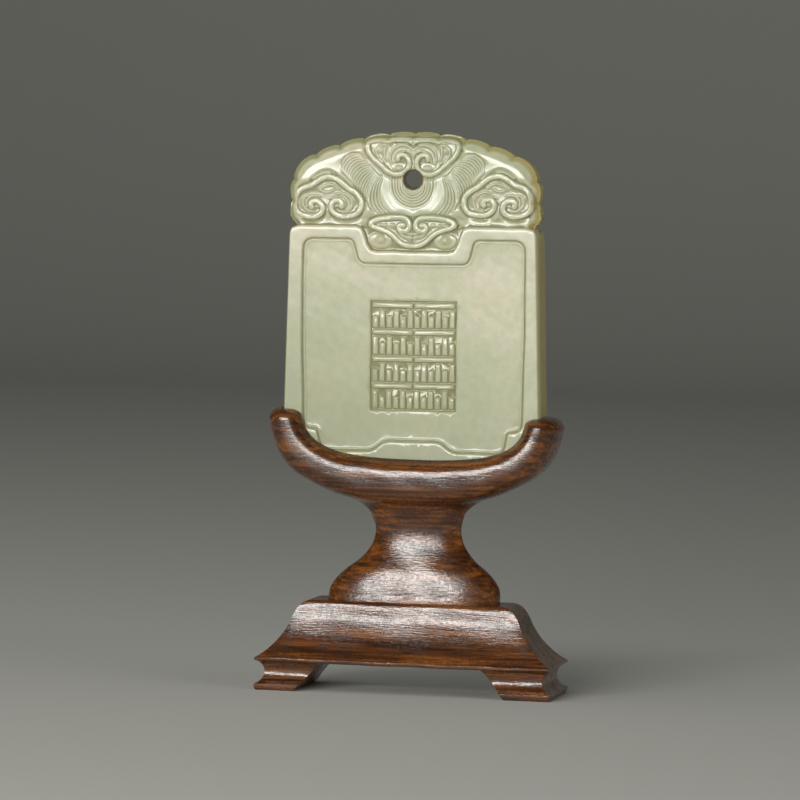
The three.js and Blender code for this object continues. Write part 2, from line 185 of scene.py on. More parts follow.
def distance_to(x, z, line, reach=1.6):
    """How far each point is from a line of short straight steps, up to a reach."""
    line = np.asarray(line, float)
    low, high = line.min(0) - reach, line.max(0) + reach
    near = np.flatnonzero((x > low[0]) & (x < high[0]) & (z > low[1]) & (z < high[1]))
    px, pz = x[near], z[near]
    square = np.full(near.size, reach**2)
    for (ax, az), (bx, bz) in zip(line[:-1], line[1:]):
        dx, dz = bx - ax, bz - az
        along = np.clip(((px - ax) * dx + (pz - az) * dz) / (dx * dx + dz * dz + 1e-12), 0, 1)
        np.minimum(square, (px - ax - along * dx) ** 2 + (pz - az - along * dz) ** 2, out=square)
    out = np.full(x.shape, float(reach))
    out[near] = np.sqrt(square)
    return out


def depth_inside(x, z, outline, reach=6.0):
    """How far inside a closed outline each point is. Outside, the number is negative."""
    outline = np.asarray(outline, float)
    ring = np.vstack([outline, outline[:1]])
    inside = np.zeros(x.shape, bool)
    for (ax, az), (bx, bz) in zip(ring[:-1], ring[1:]):
        if az == bz:
            continue
        crosses = (az > z) != (bz > z)
        inside ^= crosses & (x < ax + (z - az) * (bx - ax) / (bz - az))
    away = distance_to(x, z, ring, reach)
    return np.where(inside, away, -away)


# ---------------------------------------------------------------- meshes

def grown(mesh, ring, places):
    """The next ring of a skin: the ring's edges are extruded, and the new vertices go to their places."""
    edges = [mesh.edges.get((ring[i - 1], ring[i])) for i in range(len(ring))]
    made = bmesh.ops.extrude_edge_only(mesh, edges=edges)["geom"]
    fresh = {item for item in made if isinstance(item, bmesh.types.BMVert)}
    after = [next(e.other_vert(v) for e in v.link_edges if e.other_vert(v) in fresh) for v in ring]
    for vertex, place in zip(after, places):
        vertex.co = place
    return after


def skinned(rings):
    """A closed skin over rings of points, with a flat face on the first and the last ring."""
    mesh = bmesh.new()
    ring = [mesh.verts.new(place) for place in rings[0]]
    for i in range(len(ring)):
        mesh.edges.new((ring[i - 1], ring[i]))
    mesh.faces.new(ring)
    for places in rings[1:]:
        ring = grown(mesh, ring, places)
    mesh.faces.new(ring)
    bmesh.ops.recalc_face_normals(mesh, faces=mesh.faces)
    return mesh


def upright_plate(outline, half_depth):
    """A plate cut to an outline in X and Z, as deep on both sides of the middle."""
    return skinned([[(x, y, z) for x, z in outline] for y in (-half_depth, half_depth)])


def piece_of(name, mesh):
    """An object that holds a finished bmesh."""
    data = bpy.data.meshes.new(name)
    mesh.to_mesh(data)
    mesh.free()
    piece = bpy.data.objects.new(name, data)
    bpy.context.scene.collection.objects.link(piece)
    return piece


def modified(piece, kind, **settings):
    """The piece with one modifier applied to its mesh."""
    modifier = piece.modifiers.new(kind.title(), kind)
    for name, value in settings.items():
        setattr(modifier, name, value)
    bpy.context.view_layer.update()
    graph = bpy.context.evaluated_depsgraph_get()
    done = bpy.data.meshes.new_from_object(piece.evaluated_get(graph))
    piece.modifiers.clear()
    before = piece.data
    piece.data = done
    bpy.data.meshes.remove(before)
    return piece


def cut_by(piece, cutter, solver="EXACT"):
    """The piece after a boolean cut. The cutter is used up."""
    modified(piece, "BOOLEAN", operation="DIFFERENCE", object=cutter, solver=solver)
    bpy.data.objects.remove(cutter)
    return piece


def places_of(piece):
    places = np.empty(len(piece.data.vertices) * 3)
    piece.data.vertices.foreach_get("co", places)
    return places.reshape(-1, 3)


def put_places(piece, places):
    piece.data.vertices.foreach_set("co", places.ravel())
    piece.data.update()


def keep_value(piece, name, values):
    """Keeps one number for each vertex, for the piece's material to read."""
    attribute = piece.data.attributes.new(name, "FLOAT", "POINT")
    attribute.data.foreach_set("value", np.asarray(values, np.float32))


def surroundings(piece, values, steps=14):
    """The values, each averaged with those of the vertices near it."""
    edges = piece.data.edges
    ends = np.empty(len(edges) * 2, int)
    edges.foreach_get("vertices", ends)
    first, second = ends.reshape(-1, 2).T
    count = np.bincount(ends, minlength=len(values))
    for _ in range(steps):
        total = np.bincount(first, values[second], len(values))
        total = total + np.bincount(second, values[first], len(values))
        values = 0.4 * values + 0.6 * total / np.maximum(count, 1)
    return values


def lean(piece):
    """Turns the plaque, or the groove for it, by the small angle that it stands askew."""
    foot = Matrix.Translation((0, 0, PLAQUE_FOOT))
    piece.data.transform(foot @ Matrix.Rotation(math.radians(-PLAQUE_LEAN), 4, "Y") @ foot.inverted())


def finished(piece, material, replaced, sharp=None):
    """Turns a piece to metres, gives it its finish, and lets it stand for its CAD node."""
    piece.data.transform(Matrix.Scale(METRES, 4))
    piece.data.shade_smooth()
    if sharp is not None:
        piece.data.set_sharp_from_angle(angle=math.radians(sharp))
    piece.data.materials.clear()
    piece.data.materials.append(material)
    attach(piece, "root")
    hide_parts(replaced)
    return piece


# ---------------------------------------------------------------- outline of the plaque

def lower_corner(offset):
    """The round lower corner on the right, from the bottom edge up to the side."""
    radius = BODY_CORNER + offset
    angle = np.linspace(-math.pi / 2, 0, 19)
    return np.column_stack([
        BODY_HALF_BOTTOM - BODY_CORNER + radius * np.cos(angle),
        PLAQUE_FOOT + BODY_CORNER + radius * np.sin(angle),
    ])


def crown_path(distance):
    """A point and an outward direction on the crown, at a distance along it from its highest point."""
    join = math.asin((CROWN_HALF - CROWN_CORNER) / (ARCH_RADIUS - CROWN_CORNER))
    arch_length = ARCH_RADIUS * join
    corner_length = CROWN_CORNER * (math.pi / 2 - join)
    corner_height = CROWN_TOP - ARCH_RADIUS + (ARCH_RADIUS - CROWN_CORNER) * math.cos(join)
    if distance < arch_length:
        centre, radius, angle = (0, CROWN_TOP - ARCH_RADIUS), ARCH_RADIUS, distance / ARCH_RADIUS
    elif distance < arch_length + corner_length:
        centre, radius = (CROWN_HALF - CROWN_CORNER, corner_height), CROWN_CORNER
        angle = join + (distance - arch_length) / CROWN_CORNER
    else:
        drop = distance - arch_length - corner_length
        return np.array([CROWN_HALF, corner_height - drop]), np.array([1.0, 0.0])
    out = np.array([math.sin(angle), math.cos(angle)])
    return np.array(centre) + radius * out, out


def crown_edge(offset, rise=LOBE_RISE, steps=14):
    """The scalloped right half of the crown, from the shoulder up to the middle."""
    half = []
    start = 0
    for count, length in LOBES:
        for i in range(count * steps):
            at, out = crown_path(start + i / steps * length / count)
            half.append(at + out * (offset + rise * math.sqrt(math.sin(math.pi * (i % steps) / steps))))
        start += length
    half.append(np.array([CROWN_HALF - LOBE_RISE + offset, CROWN_BOTTOM]))
    return half[::-1]


def plaque_outline(offset):
    """The whole plaque, moved out by an offset."""
    side = offset * BODY_RIM
    shoulder = (
        (BODY_HALF_TOP + side, SHOULDER - SHOULDER_CORNER),
        (BODY_HALF_TOP - 0.12 + side, SHOULDER - 0.7),
        (BODY_HALF_TOP - 0.35 + side, SHOULDER - 0.35),
        (BODY_HALF_TOP - 0.7 + side, SHOULDER - 0.12),
        (BODY_HALF_TOP - SHOULDER_CORNER + side, SHOULDER),
    )
    # The scallops run out towards the face.
    rise = LOBE_RISE * (1 + offset / RIM[0][0])
    return both_sides([*lower_corner(side), *shoulder, *crown_edge(offset, rise)])


def groove_outline(offset):
    """The part of the plaque that the groove is cut for."""
    return both_sides([*lower_corner(offset), (BODY_HALF_TOP + offset, SHOULDER)])


# ---------------------------------------------------------------- carving lines, mm

# Right halves of the lines, which the left side mirrors.
PANEL_CORNERS = (
    (5.0, 45.0), (7.2, 43.1), (16.9, 43.1), (17.6, 46.9), (20.2, 47.2),
    (20.6, 66), (20.5, 81.5), (10.9, 81.5), (9.8, 77.1),
)
PANEL_ROUNDS = (1.2, 1.4, 1.8, 0.35, 1.6, 3.0, 2.3, 1.3, 1.1)
FRAME_TOP = (
    (23.6, 80.0), (22.8, 82.0), (22.2, 83.1), (20.9, 83.5), (14, 83.55), (10.2, 83.5),
    (9.3, 83.1), (8.85, 82.2), (8.2, 80.2), (7.6, 79.3), (6.5, 79.0), (3.2, 79.1), (0, 79.05),
)

SIDE_CLOUD_RIM = (
    (18.5, 86.85), (18.65, 87.4), (18.3, 87.8), (17.75, 87.95), (17.15, 87.75), (16.65, 87.3),
    (16.45, 86.6), (16.7, 85.85), (17.3, 85.35), (18.1, 85.1), (19.1, 85.1), (20.2, 85.35),
    (21.1, 85.9), (21.6, 86.7), (21.65, 87.7), (21.3, 89.0), (20.6, 89.9), (19.7, 90.35),
    (18.7, 90.7), (17.8, 91.25), (16.9, 91.85), (15.9, 92.25), (14.9, 92.2), (13.9, 91.85),
    (12.8, 91.05), (11.7, 90.15), (10.8, 89.65), (10.0, 89.0), (9.5, 88.2), (9.4, 87.3),
    (9.65, 86.4), (10.3, 85.65), (11.4, 85.3), (12.7, 85.2), (13.7, 85.45), (14.5, 86.0),
    (14.9, 86.7), (14.85, 87.4), (14.4, 87.95), (13.8, 88.1), (13.25, 87.95), (12.95, 87.5),
    (13.0, 87.05),
)
SIDE_CLOUD_RIDGES = (
    ((19.1, 88.9), (19.9, 88.5), (20.1, 87.5), (19.8, 86.7), (19.0, 86.1), (18.1, 86.0)),
    ((17.0, 88.8), (17.9, 88.9), (18.9, 88.6), (19.45, 87.8), (19.35, 86.95)),
    ((15.2, 88.45), (14.4, 88.65), (13.4, 88.7), (12.7, 88.35), (12.35, 87.7), (12.4, 87.0)),
    ((14.0, 89.35), (12.9, 89.35), (12.1, 89.0), (11.4, 88.5), (11.15, 87.6), (11.4, 86.7), (12.0, 86.1),
     (12.9, 86.0)),
    ((17.1, 89.95), (16.3, 90.6), (15.3, 90.9), (14.4, 90.7), (13.7, 90.1)),
    ((17.0, 89.9), (16.1, 89.55), (15.3, 89.65), (14.5, 90.1)),
)
ECHO_GROOVE = ((18.9, 91.5), (18.0, 92.45), (17.0, 93.15), (15.9, 93.5), (15.0, 93.35), (14.2, 92.8))
ECHO_RIDGE = ((18.35, 91.9), (17.2, 92.7), (16.1, 92.98), (15.2, 92.85))

HANGING_RIM = (
    (2.75, 95.5), (2.65, 96.0), (2.2, 96.35), (1.6, 96.3), (1.05, 95.95), (0.72, 95.3), (0.68, 94.6),
    (0.95, 93.8), (1.6, 93.2), (2.5, 92.9), (3.5, 92.9), (4.5, 93.35), (5.4, 94.1), (6.4, 94.95),
    (7.3, 95.75), (7.95, 96.6), (8.3, 97.5), (8.2, 98.35), (7.6, 98.8), (6.2, 99.0),
)
HANGING_TOP = (
    (0, 99.3), (4, 99.3), (7.9, 99.1), (8.4, 98.5), (7.6, 98.25), (6.6, 98.6), (5.6, 98.6), (4.6, 98.3),
    (3.6, 98.65), (2.4, 98.85), (1.2, 98.7), (0.45, 98.3), (0, 97.95),
)
HANGING_RIDGES = (
    ((3.3, 95.0), (3.3, 95.7), (2.9, 96.5), (2.1, 96.95), (1.2, 96.95), (0.3, 96.7)),
    ((3.9, 94.9), (4.2, 95.6), (4.05, 96.7), (3.5, 97.5), (2.6, 98.0), (1.35, 98.05), (0.4, 97.55),
     (0, 97.25)),
    ((5.0, 98.0), (5.2, 97.1), (5.2, 96.2), (4.9, 95.4)),
    ((5.2, 98.1), (6.3, 97.75), (6.75, 97.0), (6.4, 95.9), (5.5, 94.95)),
)

BROW_OUTLINE = (
    (0, 79.75), (0.7, 79.8), (1.8, 80.1), (2.8, 80.75), (3.6, 81.5), (4.5, 82.1), (5.7, 82.5),
    (7.2, 82.95), (8.0, 83.35), (8.15, 83.95), (7.7, 84.7), (6.7, 85.15), (5.0, 85.45), (3.2, 85.6),
    (1.7, 85.55), (0.75, 85.1), (0.3, 84.5), (0, 84.1),
)
BROW_BAND = (
    (1.65, 83.75), (2.1, 83.85), (2.45, 83.5), (2.3, 82.95), (1.65, 82.75), (0.95, 82.95), (0.6, 83.5),
    (0.6, 84.2), (1.0, 84.85), (1.9, 85.15), (3.3, 85.15), (5.0, 85.0), (6.5, 84.7), (7.4, 84.25),
    (7.6, 83.8), (7.1, 83.4), (5.6, 82.95), (4.4, 82.45), (3.4, 81.75), (2.6, 80.95), (1.6, 80.35),
    (0.6, 80.12), (0, 80.1),
)
CHIN_RIDGES = (
    ((2.35, 82.4), (1.5, 81.85), (0.6, 81.6), (0, 81.55)),
    ((1.2, 82.5), (0.5, 82.3), (0, 82.25)),
)
WING_LENSES = ((6.2, 83.75), (5.0, 83.75), (3.7, 83.85))
EYE = (5.9, 81.2)

# Threads of the fan between the clouds: each guide runs from the hanging cloud to the side cloud.
FAN_GUIDES = (
    ((9.7, 96.3), (11.2, 96.3), (12.4, 95.5), (12.95, 94.4), (12.9, 93.2)),
    ((8.7, 95.3), (10.3, 95.1), (11.5, 94.1), (11.95, 93.0), (11.8, 92.0)),
    ((7.7, 94.2), (9.2, 93.7), (10.3, 92.7), (10.8, 91.8), (10.9, 91.0)),
    ((6.9, 93.1), (7.9, 92.0), (8.6, 90.9), (8.95, 90.0), (9.1, 89.0)),
    ((6.3, 92.5), (7.4, 90.7), (7.9, 89.1), (7.9, 87.6), (7.1, 86.0)),
    ((5.4, 92.3), (6.05, 90.6), (6.2, 89.1), (5.7, 87.2), (4.3, 85.8)),
)
THREAD_PITCH = 0.56


def rounded_corners(corners, rounds, steps=8):
    """A closed outline with straight sides, each corner with a round of its own."""
    corners = [np.array(c, float) for c in corners]
    outline = []
    for i, (corner, radius) in enumerate(zip(corners, rounds)):
        before, after = corners[i - 1] - corner, corners[(i + 1) % len(corners)] - corner
        enter = corner + before / np.linalg.norm(before) * radius
        leave = corner + after / np.linalg.norm(after) * radius
        for t in np.linspace(0, 1, steps + 1):
            outline.append((1 - t) ** 2 * enter + 2 * (1 - t) * t * corner + t**2 * leave)
    return np.array(outline)


def fan_threads():
    """Threads at an even pitch, blended from the guides."""
    guides = [through(g, 5) for g in FAN_GUIDES]
    middles = np.array([g[len(g) // 2] for g in guides])
    reach = np.concatenate([[0], np.cumsum(np.linalg.norm(np.diff(middles, axis=0), axis=1))])
    threads = []
    for place in np.arange(0, reach[-1] + 0.01, THREAD_PITCH):
        share = np.interp(place, reach, np.arange(len(guides)))
        low = min(int(share), len(guides) - 2)
        threads.append(guides[low] + (guides[low + 1] - guides[low]) * (share - low))
    return threads


# ---------------------------------------------------------------- the carved surface

def band(distance, width):
    """1 on a flat raised band of that width, and 0 away from it, with soft shoulders."""
    return soft_step(width * 0.5 + 0.12, width * 0.5 - 0.12, distance)


def raised(height, top, share):
    return height + (top - height) * share


def cloud(height, x, z, rim, width, floor, ridges, ridge_rise):
    """A cloud head: a valley round it, a sunk middle with fine ridges, and its raised curling rim."""
    line = through(rim, 5)
    to_rim = distance_to(x, z, line)
    head = depth_inside(x, z, line, 1.6)
    height = height - 0.34 * np.exp(-(np.maximum(to_rim - width * 0.5, 0) / 0.5) ** 2) * (head < 0)
    height = raised(height, floor, soft_step(-0.1, 0.2, head))
    for ridge in ridges:
        to_ridge = distance_to(x, z, through(ridge, 5), 1.0)
        height = height + ridge_rise * np.exp(-((to_ridge / 0.15) ** 2))
    return raised(height, -0.03, band(to_rim, width))


def crown_carving(x, z, plain):
    """Height of the crown's surface above the frame's level."""
    ax = np.abs(x)
    edge = [at for at, _ in (crown_path(d) for d in np.arange(0, 40, 0.5))]
    to_edge = distance_to(ax, z, edge, 7.0)
    height = -0.1 - 0.5 * soft_step(5.5, 1.2, to_edge) - 0.25 * soft_step(1.7, 0.6, to_edge)
    height = height - 0.55 * soft_step(86.4, 84.6, z)

    if not plain:
        threads = fan_threads()
        starts = np.array([t[0] for t in threads])
        ends = np.array([t[-1] for t in threads])
        field = np.vstack([threads[0], ends[1:-1], threads[-1][::-1], starts[-2:0:-1]])
        in_field = soft_step(-0.4, -0.1, depth_inside(ax, z, field, 1.6))
        height = raised(height, -0.36, in_field)
        to_thread = np.minimum.reduce([distance_to(ax, z, t, 1.0) for t in threads])
        height = height + 0.19 * np.exp(-((to_thread / 0.14) ** 2)) * in_field

        # Rings that hang like a collar under the hole, and the smooth band outside them.
        below = np.minimum(z - HOLE_HEIGHT + 1.0, 0)
        collar = np.hypot(ax, below)
        hanging = soft_step(93.2, 92.4, z)
        height = raised(height, -0.14, soft_step(5.7, 5.3, collar) * hanging)
        height = raised(height, -0.26, soft_step(4.25, 4.05, collar) * hanging)
        rings = np.cos((collar - 4.0) / 0.5 * 2 * math.pi)
        height = height + 0.09 * rings * soft_step(4.2, 4.0, collar) * hanging

    # The two heads by the sides: the right one stands a little higher.
    for side, lift in ((-1, 0.0), (1, 0.5)):
        mine = side * x > 4
        u, w = np.where(mine, side * x, -50), z - lift
        if not plain:
            groove = distance_to(u, w, through(ECHO_GROOVE, 5), 1.0)
            height = height - 0.22 * np.exp(-((groove / 0.24) ** 2))
            arc = distance_to(u, w, through(ECHO_RIDGE, 5), 1.0)
            height = height + 0.2 * np.exp(-((arc / 0.24) ** 2)) - 0.06 * np.exp(-((arc / 0.6) ** 2))
        ridges = () if plain else SIDE_CLOUD_RIDGES
        shaped = cloud(height, u, w, SIDE_CLOUD_RIM, 0.95, -0.5, ridges, 0.2)
        height = np.where(mine, shaped, height)

    # The head that hangs from the top.
    ridges = () if plain else HANGING_RIDGES
    closed_rim = (*HANGING_RIM, (0, 99.1))
    height = cloud(height, ax, z, closed_rim, 0.82, -0.48, ridges, 0.2)
    top = depth_inside(ax, z, HANGING_TOP, 1.6)
    height = raised(height, -0.04, soft_step(-0.12, 0.14, top))
    if not plain:
        leaf = ((ax - 6.0) / 0.5) ** 2 + ((z - 97.15) / 0.4) ** 2
        tongue = ((ax - 2.65) / 0.75) ** 2 + ((z - 94.0) / 0.4) ** 2
        height = height + 0.28 * np.exp(-leaf) + 0.25 * np.exp(-tongue)
    return height


def mask_carving(height, x, z):
    """The brow with its two curls and the chin, over the sunk eyes."""
    ax = np.abs(x)
    eye = np.hypot((ax - EYE[0]) / 1.0, (z - EYE[1]) / 0.8)
    ball = np.hypot((ax - EYE[0]) / 2.1, (z - EYE[1] + 0.2) / 1.35)
    sunk = -POCKET_DEPTH + 0.36 * np.exp(-(eye**2) * 1.6) + 0.14 * soft_step(1.15, 0.85, ball)
    under = soft_step(84.2, 83.2, z) * soft_step(9.6, 9.0, ax)
    height = raised(height, sunk, under)

    brow = depth_inside(ax, z, BROW_OUTLINE, 1.6)
    height = height - 0.25 * np.exp(-((np.maximum(-brow, 0) / 0.4) ** 2)) * (z > 83.6) * (brow < 0)
    height = raised(height, -0.42, soft_step(-0.12, 0.12, brow))
    for ridge in CHIN_RIDGES:
        height = height + 0.2 * np.exp(-((distance_to(ax, z, through(ridge, 5), 1.0) / 0.17) ** 2))
    for cx, cz in WING_LENSES:
        lens = ((ax - cx) / 0.45) ** 2 + ((z - cz) / 0.24) ** 2
        height = height + 0.22 * np.exp(-lens) * (brow > 0)
    return raised(height, -0.08, band(distance_to(ax, z, through(BROW_BAND, 5)), 0.86))


def strokes():
    """Rows of uprights under level bars, each as (middle x, middle z, half width, half height)."""
    row_pitch = (BLOCK_TOP - BLOCK_BOTTOM - BLOCK_BORDER) / STROKE_ROWS
    half_width = (BLOCK_RIGHT - BLOCK_LEFT) / 2 - 1.5 * BLOCK_BORDER
    pitch = (half_width + BLOCK_BORDER) / (STROKES_PER_ROW / 2)
    for row in range(STROKE_ROWS):
        foot = BLOCK_BOTTOM + BLOCK_BORDER + row * row_pitch
        roof = foot + row_pitch - BLOCK_BORDER
        for start in (BLOCK_LEFT + BLOCK_BORDER, (BLOCK_LEFT + BLOCK_RIGHT + BLOCK_BORDER) / 2):
            yield start + half_width / 2, roof - BAR_HEIGHT / 2, half_width / 2, BAR_HEIGHT / 2
            for i in range(STROKES_PER_ROW // 2):
                head = roof - BAR_HEIGHT - BLOCK_BORDER - (SHORTER_STROKE if (i + row) % 2 else 0)
                middle = start + i * pitch + STROKE_WIDTH / 2
                yield middle, (foot + head) / 2, STROKE_WIDTH / 2, (head - foot) / 2


def block_carving(height, x, z):
    """Rows of shallow strokes, left standing in a sunk block. They spell nothing."""
    middle_x, middle_z = (BLOCK_LEFT + BLOCK_RIGHT) / 2, (BLOCK_BOTTOM + BLOCK_TOP) / 2
    half_x, half_z = (BLOCK_RIGHT - BLOCK_LEFT) / 2, (BLOCK_TOP - BLOCK_BOTTOM) / 2
    outside = np.maximum(np.abs(x - middle_x) - half_x, np.abs(z - middle_z) - half_z)
    height = raised(height, -BLOCK_DEPTH, soft_step(0.05, -0.08, outside))
    for cx, cz, half_width, half_height in strokes():
        away = np.maximum(np.abs(x - cx) - half_width, np.abs(z - cz) - half_height)
        height = raised(height, -PANEL_DEPTH - 0.02, soft_step(0.11, -0.11, away))
    return height


def carving(x, z, plain=False):
    """Height of the front above the frame's level at every point. The back is a plainer one."""
    # A hand-cut line wanders a little.
    x = x + 0.03 * np.sin(0.5 * z + 0.2 * x)
    z = z + 0.03 * np.sin(0.4 * x + 1.3)

    panel_outline = rounded_corners(both_sides(PANEL_CORNERS), (*PANEL_ROUNDS, *PANEL_ROUNDS[::-1]))
    panel = depth_inside(x - PANEL_SHIFT, z, panel_outline, 3.0)
    body = -PANEL_DEPTH * soft_step(-0.12, 0.3, panel)
    for inward, width, rise in PANEL_LINES:
        body = body + rise * np.exp(-(((panel - inward) / width) ** 2))
    body = body + 0.05 * np.exp(-((panel / 1.6) ** 2)) * soft_step(0.5, 0.95, panel)
    # The flat parts were rubbed down by hand and are a little uneven.
    body = body + 0.02 * np.sin(0.45 * x + 0.3 * z) * np.sin(0.37 * z - 0.2 * x + 1)
    body = body + 0.008 * np.sin(1.9 * x + 0.7 * z) * np.sin(1.7 * z - 0.5 * x)
    if not plain:
        body = block_carving(body, x, z)

    height = body
    high = z > SHOULDER - 6
    top = np.array(FRAME_TOP, float)
    region = both_sides([(23.6, 30), *top])
    frame_depth = depth_inside(x[high], z[high], region, 2.0)
    crown = crown_carving(x[high], z[high], plain)
    if not plain:
        crown = mask_carving(crown, x[high], z[high])
    else:
        crown = raised(crown, -0.6, soft_step(84.2, 83.2, z[high]))
    rounded = body[high] - 0.08 * np.exp(-((frame_depth / 0.3) ** 2))
    height[high] = raised(crown, rounded, soft_step(-0.22, 0.1, frame_depth))

    rim = np.hypot(x, z - HOLE_HEIGHT)
    return height - 0.2 * soft_step(HOLE_RADIUS + 0.45, HOLE_RADIUS - 0.1, rim)


def carved_plaque(material):
    half = PLAQUE_THICKNESS / 2
    rings = [(deep - half, -inset) for inset, deep in RIM]
    rings += [(-y, offset) for y, offset in rings[::-1]]
    outlines = [[(x, y, z) for x, z in plaque_outline(inset)] for y, inset in rings]
    plaque = piece_of("carved_jade_plaque", skinned(outlines))

    drill = bmesh.new()
    # The hole was drilled from the front, a little askew, and narrows towards the back.
    bmesh.ops.create_cone(
        drill, cap_ends=True, segments=64, depth=3 * PLAQUE_THICKNESS,
        radius1=HOLE_RADIUS - 1.5 * HOLE_TAPER, radius2=HOLE_RADIUS + 1.5 * HOLE_TAPER,
    )
    bmesh.ops.rotate(drill, verts=drill.verts, matrix=Matrix.Rotation(math.pi / 2, 3, "X"))
    bmesh.ops.rotate(drill, verts=drill.verts, matrix=Matrix.Rotation(math.radians(HOLE_SKEW), 3, "Z"))
    bmesh.ops.translate(drill, verts=drill.verts, vec=(0, -half, HOLE_HEIGHT))
    cut_by(plaque, piece_of("drill", drill))
    modified(plaque, "REMESH", mode="VOXEL", voxel_size=JADE_VOXEL)

    places = places_of(plaque)
    x, y, z = places.T
    for side, plain in ((-1, False), (1, True)):
        share = soft_step(half - 2.4, half - 0.9, side * y)
        mine = share > 0
        y[mine] += side * carving(x[mine], z[mine], plain) * share[mine]
    put_places(plaque, places)

    # The mesh is thinned, and keeps the fine mesh's shading.
    triangles = sum(len(face.vertices) - 2 for face in plaque.data.polygons)
    fine = bpy.data.objects.new("fine", plaque.data.copy())
    bpy.context.scene.collection.objects.link(fine)
    fine.data.shade_smooth()
    modified(plaque, "DECIMATE", ratio=min(1, MOST_TRIANGLES / triangles))
    plaque.data.shade_smooth()
    modified(
        plaque, "DATA_TRANSFER", object=fine, use_loop_data=True,
        data_types_loops={"CUSTOM_NORMAL"}, loop_mapping="POLYINTERP_NEAREST",
    )
    bpy.data.objects.remove(fine)

    x, y, z = places_of(plaque).T
    level = np.abs(y)
    outer = depth_inside(x, z, plaque_outline(0), 3.0)
    carved = soft_step(1.2, 1.8, outer)
    # Masks for painted shade: how deep a point lies below the face, and how far it lies below the vertices
    # round it.
    keep_value(plaque, "sunk", np.clip((half - level) / POCKET_DEPTH, 0, 1) * carved)
    keep_value(plaque, "groove", np.clip((surroundings(plaque, level) - level) / 0.1, 0, 1) * carved)
    # The mask for the painted shade and glow at the edges: near the outline, in a wider band round the
    # crown.
    slope = np.where(z > SHOULDER, 0.85, 0.2)
    keep_value(plaque, "edge", soft_step(slope + 0.35, slope - 0.3, outer))
    bore = np.hypot(x, z - HOLE_HEIGHT)
    keep_value(plaque, "bore", (bore < HOLE_RADIUS + 0.1) * soft_step(half - 0.6, half - 1.3, level))
    lean(plaque)
    return finished(plaque, material, "jade_plaque")


# ---------------------------------------------------------------- cradle and stem

def cradle_section(width):
    """Half depth of the crescent at distances from its outer edge."""
    round_width = 3.4
    points = []
    for angle in np.linspace(0, math.pi / 2, 9):
        points.append((round_width * (1 - math.cos(angle)), CRADLE_HALF_DEPTH * math.sin(angle) ** 0.7))
    # The nosing and the slope inside it.
    for back, drop in NOSING:
        points.append((width - back, CRADLE_HALF_DEPTH - drop))
    points.append((width, PLAQUE_THICKNESS / 2 + 0.4))
    return points


def cradle_ring(outer, inner, scale, rise):
    width = np.linalg.norm(inner - outer)
    half = cradle_section(width)
    around = [(d, -y) for d, y in half[1:]] + half[::-1]
    ring = []
    for distance, y in around:
        x, z = outer + (inner - outer) * (0.5 + (distance / width - 0.5) * scale)
        ring.append((x, y * scale, z + rise))
    return ring


def crescent():
    half = [np.array([*outer, *inner], float) for outer, inner in CRADLE_RAILS]
    mirror = np.array([-LEFT_ARM[0], 1, -LEFT_ARM[1], 1])
    rails = through([*half, *(rail * mirror for rail in half[-2::-1])], 10)
    tip_steps = 8

    def tip(rail, i):
        angle = i / tip_steps * math.pi / 2 * 0.97
        return cradle_ring(rail[:2], rail[2:], math.cos(angle) ** 0.6, TIP_RISE * math.sin(angle))

    rings = [tip(rails[0], i) for i in range(tip_steps, 0, -1)]
    rings += [cradle_ring(rail[:2], rail[2:], 1, 0) for rail in rails]
    rings += [tip(rails[-1], i) for i in range(1, tip_steps + 1)]
    return skinned(rings)


def stem():
    sections = through(STEM_SECTIONS, 6)
    low, high = sections[0][0], sections[-1][0]
    rings = []
    for z, half_x, half_y, oval in sections:
        shift = STEM_SHIFT + NECK_SHIFT * math.sin(math.pi * (z - low) / (high - low))
        ring = []
        for angle in np.linspace(0, 2 * math.pi, 72, endpoint=False):
            c, s = math.cos(angle), math.sin(angle)
            ring.append((
                shift + half_x * math.copysign(abs(c) ** (2 / oval), c),
                half_y * math.copysign(abs(s) ** (2 / oval), s),
                z,
            ))
        rings.append(ring)
    return skinned(rings)


def joined_meshes(first, second):
    """One bmesh that holds both."""
    other = bpy.data.meshes.new("joined")
    second.to_mesh(other)
    second.free()
    first.from_mesh(other)
    bpy.data.meshes.remove(other)
    return first


def carved_cradle(material):
    cradle = piece_of("cradle_and_stem", joined_meshes(crescent(), stem()))
    modified(cradle, "REMESH", mode="VOXEL", voxel_size=WOOD_VOXEL)

    # The carver blends the stem into the underside of the crescent.
    blended = bmesh.new()
    blended.from_mesh(cradle.data)
    places = places_of(cradle)
    blend = (places[:, 2] > BLEND_LOW) & (places[:, 2] < BLEND_HIGH)
    blend &= np.abs(places[:, 0]) < BLEND_HALF_WIDTH
    chosen = [vertex for vertex, near in zip(blended.verts, blend) if near]
    every_axis = {"use_axis_x": True, "use_axis_y": True, "use_axis_z": True}
    for _ in range(BLEND_ROUNDS):
        bmesh.ops.smooth_vert(blended, verts=chosen, factor=0.5, **every_axis)
    bmesh.ops.smooth_vert(blended, verts=blended.verts, factor=0.5, **every_axis)
    blended.to_mesh(cradle.data)
    blended.free()

    # Tool marks: the surface is a little uneven.
    places = places_of(cradle)
    x, y, z = places.T
    wave = 0.05 * np.sin(0.6 * x + 0.3 * z) * np.sin(0.5 * z + 0.2 * x + 0.7)
    places[:, 1] += (wave - 0.05) * np.sign(y) * (z > 17)
    places[:, 2] -= ARM_TILT * x * soft_step(38, 46, z)
    put_places(cradle, places)

    # The foot of the stem is sawn off level, to stand on the base.
    sawn = BASE_HEIGHT + 0.02
    waste = [(-20, 15), (20, 15), (20, sawn), (-20, sawn)]
    cut_by(cradle, piece_of("waste", upright_plate(waste, 10)))
    half_groove = PLAQUE_THICKNESS / 2 + FIT_GAP
    groove = piece_of("groove", upright_plate(groove_outline(FIT_GAP), half_groove))
    lean(groove)
    cut_by(cradle, groove)
    return finished(cradle, material, "cradle_stem", sharp=50)


# ---------------------------------------------------------------- base

